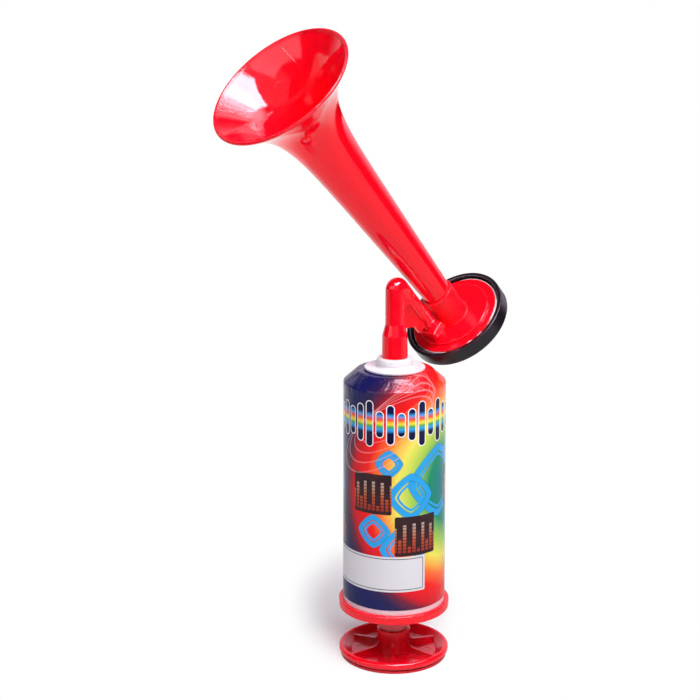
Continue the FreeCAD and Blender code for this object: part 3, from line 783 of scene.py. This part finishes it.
# %% Pin mark and scratch in the bell
mark_depth = 0.06 * mm
pin_x, pin_up, pin_rise, pin_r, pin_soft = -16.1, 8.8, 135.5, 2.6, 0.25
scratch_x, scratch_up = -17.4, 20.9
scratch_cos, scratch_sin = 0.921, 0.390
scratch_half_length, scratch_end_soft = 4, 0.5
scratch_half_width, scratch_soft = 0.03, 0.10
bell_x, bell_up, bell_rise = drum_coordinates(red_trumpet)
pin_away = length(length(bell_x - pin_x, bell_up - pin_up), bell_rise - pin_rise)
red_trumpet.relief((pin_away - pin_r).inside(pin_soft), mark_depth)
scratch_along = (bell_x - scratch_x) * scratch_cos - (bell_up - scratch_up) * scratch_sin
scratch_off = (bell_x - scratch_x) * scratch_sin + (bell_up - scratch_up) * scratch_cos
scratch_ends = abs(scratch_along - scratch_half_length) - scratch_half_length
scratch = (abs(scratch_off) - scratch_half_width).inside(scratch_soft)
scratch = scratch * scratch_ends.inside(scratch_end_soft)
red_trumpet.relief(scratch, mark_depth)
print("pin mark", 2 * pin_r, "mm wide, scratch", 2 * scratch_half_length, "mm long")

# %% Lip and wiped streaks of the bell
lip_start = (146.8, 147.1)
lip_satin = 0.16
lip_red = (0.78, 0.0010, 0.014)
lip = bell_rise.smooth(*lip_start)
red_trumpet.link(red_trumpet.roughness + lip * lip_satin, "Roughness")
red_trumpet.link(red_trumpet.mix(red_trumpet.colour, lip_red, lip), "Base Color")
fine_pace, sway_pace, sway, broad_pace = 231, 57, 3, 131
wiped_from, wiped_to, wiped_above = (-2.35, -2.15), (-1.75, -1.90), (136, 140)
streak_depth = 0.02 * mm
bell_turn = bell_x.through("ARCTAN2", bell_up)
fine_streaks = (bell_turn * fine_pace + (bell_turn * sway_pace).through("SINE") * sway).through("SINE")
streaks = fine_streaks * (bell_turn * broad_pace).through("SINE")
streaks = streaks * bell_turn.smooth(*wiped_from) * bell_turn.smooth(*wiped_to)
red_trumpet.relief(streaks * bell_rise.smooth(*wiped_above), streak_depth)
print("trumpet nodes:", len(red_trumpet.tree.nodes))

# %% [markdown]
# ## The lamps
#
# The highlights tell where the lights were. A bright patch inside the bell mirrors a large soft box
# high on the camera's right, and the shadow falls to the left. A second, weaker box fills the front.
# Lamps alone would give highlights with their own plain outlines. So they are hidden from mirror
# rays, and the next step draws their mirror images, which can then have softer edges.

# %% Soft boxes
aim_point = Vector((0, -20, 190)) * mm
# Turns are in degrees, lengths in metres and the power in watts.
boxes = {
    "key_box": dict(turn_deg=90, rise_deg=54, distance=1.1, width=0.95, height=0.70, power=15.2),
    "fill_box": dict(turn_deg=22, rise_deg=55, distance=1.3, width=0.70, height=0.60, power=8.0)}


def soft_box(name, turn_deg, rise_deg, distance, width, height, power):
    """Lamp that faces the aim point; its mirror image is drawn by the surroundings instead."""
    towards = pointing(turn_deg, rise_deg)
    data = bpy.data.lights.new(name, "AREA")
    data.shape = "RECTANGLE"
    data.size = width
    data.size_y = height
    data.energy = power
    lamp = bpy.data.objects.new(name, data)
    lamp.visible_glossy = False
    bpy.context.scene.collection.objects.link(lamp)
    facing = towards.to_track_quat("Z", "Y").to_matrix().to_4x4()
    lamp.matrix_world = Matrix.Translation(aim_point + towards * distance) @ facing


for name, settings in boxes.items():
    soft_box(name, **settings)
print("lamps:", list(boxes))

# %% [markdown]
# ## The surroundings
#
# The background is pure white, yet the red is deep, because the side of the room where the camera
# stands is dark. One picture of a studio all round could light the horn, but its parts couldn't be
# set apart from each other. Here the world answers each kind of ray in its own way: white for the
# camera, a soft grey room for the light that falls on the horn, and for mirror rays the bright
# paper behind and the panels of the lamps.

# %% Surroundings: directions and rays
world = bpy.data.worlds.new("studio")
bpy.context.scene.world = world
world.use_nodes = True
sky = world.node_tree
background = sky.nodes["Background"]
direction = sky.nodes.new("ShaderNodeTexCoord").outputs["Generated"]
split = sky.nodes.new("ShaderNodeSeparateXYZ")
sky.links.new(direction, split.inputs[0])
sky_x, sky_y, sky_z = (Formula(sky, split.outputs[i]) for i in range(3))
paper_edge, ceiling_edge = (0.35, 0.75), (0.55, 0.90)
behind = (sky_x * -towards_camera.x + sky_y * -towards_camera.y).smooth(*paper_edge)
overhead = sky_z.smooth(*ceiling_edge)
rays = sky.nodes.new("ShaderNodeLightPath")
seen = Formula(sky, rays.outputs["Is Camera Ray"])
mirrored = Formula(sky, rays.outputs["Is Glossy Ray"])


def along_direction(way):
    """How far a ray goes along a direction."""
    return sky_x * way.x + sky_y * way.y + sky_z * way.z


print("room nodes so far:", len(sky.nodes))

# %% Surroundings: panels in the mirror
def panel_in_mirror(turn_deg, rise_deg, twist_deg, half_width, half_height, soft):
    """1 where a mirror ray meets a flat panel that stands one unit away in that direction."""
    middle = pointing(turn_deg, rise_deg)
    side = Vector((-middle.y, middle.x, 0)).normalized()
    top = middle.cross(side)
    twist = math.radians(twist_deg)
    across_way = side * math.cos(twist) + top * math.sin(twist)
    up_way = top * math.cos(twist) - side * math.sin(twist)
    depth = along_direction(middle)
    across = abs(along_direction(across_way) / depth) - half_width
    rise = abs(along_direction(up_way) / depth) - half_height
    return across.inside(soft) * rise.inside(soft) * depth.smooth(0.05, 0.1)


# Turn, rise and twist in degrees, then half the width, half the height and the soft edge.
key_panel, key_shine = (72, 62, -15, 0.32, 0.27, 0.03), 28
card_panel, card_shine = (2, 28, 26, 0.48, 0.24, 0.06), 2.0
low_panel, low_shine = (52, 20, 0, 0.45, 0.42, 0.30), 0.5
spill_place, spill_edge, spill_shine = (122, 70), (0.88, 0.99), 7
key_mirror = panel_in_mirror(*key_panel) * key_shine
key_spill = along_direction(pointing(*spill_place)).smooth(*spill_edge) * spill_shine
card_mirror = panel_in_mirror(*card_panel) * card_shine
low_mirror = panel_in_mirror(*low_panel) * low_shine
print("panels in the mirror: key with its spill, card and low panel")

# %% Surroundings: brightness of each kind of ray
room_tint = (1.0, 0.84, 1.0)
paper_light, room_light = 0.42, 0.09
paper_shine, room_shine, ceiling_loss = 0.93, 0.02, -0.6
room = behind * paper_light + room_light
room_in_mirror = (behind * paper_shine + room_shine) * (overhead * ceiling_loss + 1)
room_in_mirror = room_in_mirror + key_mirror + key_spill + card_mirror + low_mirror
brightness = room + (room_in_mirror - room) * mirrored
tinted = sky.nodes.new("ShaderNodeCombineXYZ")
for port, share in zip(tinted.inputs, room_tint):
    sky.links.new((brightness * share).through("MAXIMUM", seen).socket, port)
sky.links.new(tinted.outputs[0], background.inputs["Color"])
print("room nodes:", len(sky.nodes))

# %% [markdown]
# ## The paper floor
#
# The horn stands on white paper, which shows only as a soft shadow on the left of the pump. A plain
# white plane would have to be lit until it is as white as the background, and then the horn would
# be lit too much. So the paper is real only near the pump, in an oval that holds the shadow, and
# shines evenly farther away. In mirror images the sheet ends: it is dark where it stops in front of
# the horn and far on its right, and brightest behind it.

# %% Paper floor: where it is real and how it mirrors
paper = Finish("paper_floor")
paper_x, paper_y, _ = paper.axes()
camera_turn = math.radians(camera_turn_deg)
leftward = paper_x * -math.cos(camera_turn) + paper_y * -math.sin(camera_turn)
forward = paper_x * math.sin(camera_turn) + paper_y * -math.cos(camera_turn)
shadow_left, shadow_back, shadow_stretch = 8, 60, 2.2
shadow_edge = (20, 44)
sheet_front, sheet_right, sheet_back = (420, 200), (-900, -600), (-60, -250)
near_shine, back_shine = 0.58, 0.42
far = length(leftward - shadow_left, (forward + shadow_back) / shadow_stretch).smooth(*shadow_edge)
sheet = forward.smooth(*sheet_front) * leftward.smooth(*sheet_right)
sheet = sheet * (forward.smooth(*sheet_back) * back_shine + near_shine)
print("shadow oval reaches", shadow_edge[1], "mm sideways and", shadow_edge[1] * shadow_stretch, "mm back")

# %% Paper floor: material
paper_tones = ((0.88, 0.88, 0.90), (0.90, 0.90, 0.91))
paper_roughness = 0.9
fibre_size = 3 * mm
ray_kind = paper.tree.nodes.new("ShaderNodeLightPath")
in_mirror = Formula(paper.tree, ray_kind.outputs["Is Glossy Ray"])
watched = Formula(paper.tree, ray_kind.outputs["Is Camera Ray"]).through("MAXIMUM", in_mirror)
shine = in_mirror * (sheet - 1) + 1
paper.link(paper.mix(*paper_tones, paper.noise(fibre_size)), "Base Color")
paper.shader.inputs["Roughness"].default_value = paper_roughness
bright = paper.tree.nodes.new("ShaderNodeEmission")
bright.inputs["Color"].default_value = (1, 1, 1, 1)
paper.tree.links.new(shine.socket, bright.inputs["Strength"])
blend = paper.tree.nodes.new("ShaderNodeMixShader")
paper.tree.links.new((far * watched).socket, blend.inputs["Fac"])
paper.tree.links.new(paper.shader.outputs[0], blend.inputs[1])
paper.tree.links.new(bright.outputs[0], blend.inputs[2])
paper.tree.links.new(blend.outputs[0], paper.tree.nodes["Material Output"].inputs["Surface"])
print("paper nodes:", len(paper.tree.nodes))

# %% Paper floor: mesh
floor_half = 12.0
floor_corners = [(-floor_half, -floor_half, 0), (floor_half, -floor_half, 0),
                 (floor_half, floor_half, 0), (-floor_half, floor_half, 0)]
floor_mesh = bpy.data.meshes.new("paper_floor")
floor_mesh.from_pydata(floor_corners, [], [(0, 1, 2, 3)])
floor = bpy.data.objects.new("paper_floor", floor_mesh)
bpy.context.scene.collection.objects.link(floor)
floor.data.materials.append(paper.material)
print("floor side in m:", 2 * floor_half)

# %% [markdown]
# ## Finish
#
# Dressing must not change the horn's size. At the end the view layer is brought up to date.

# %% Finish
bpy.context.view_layer.update()
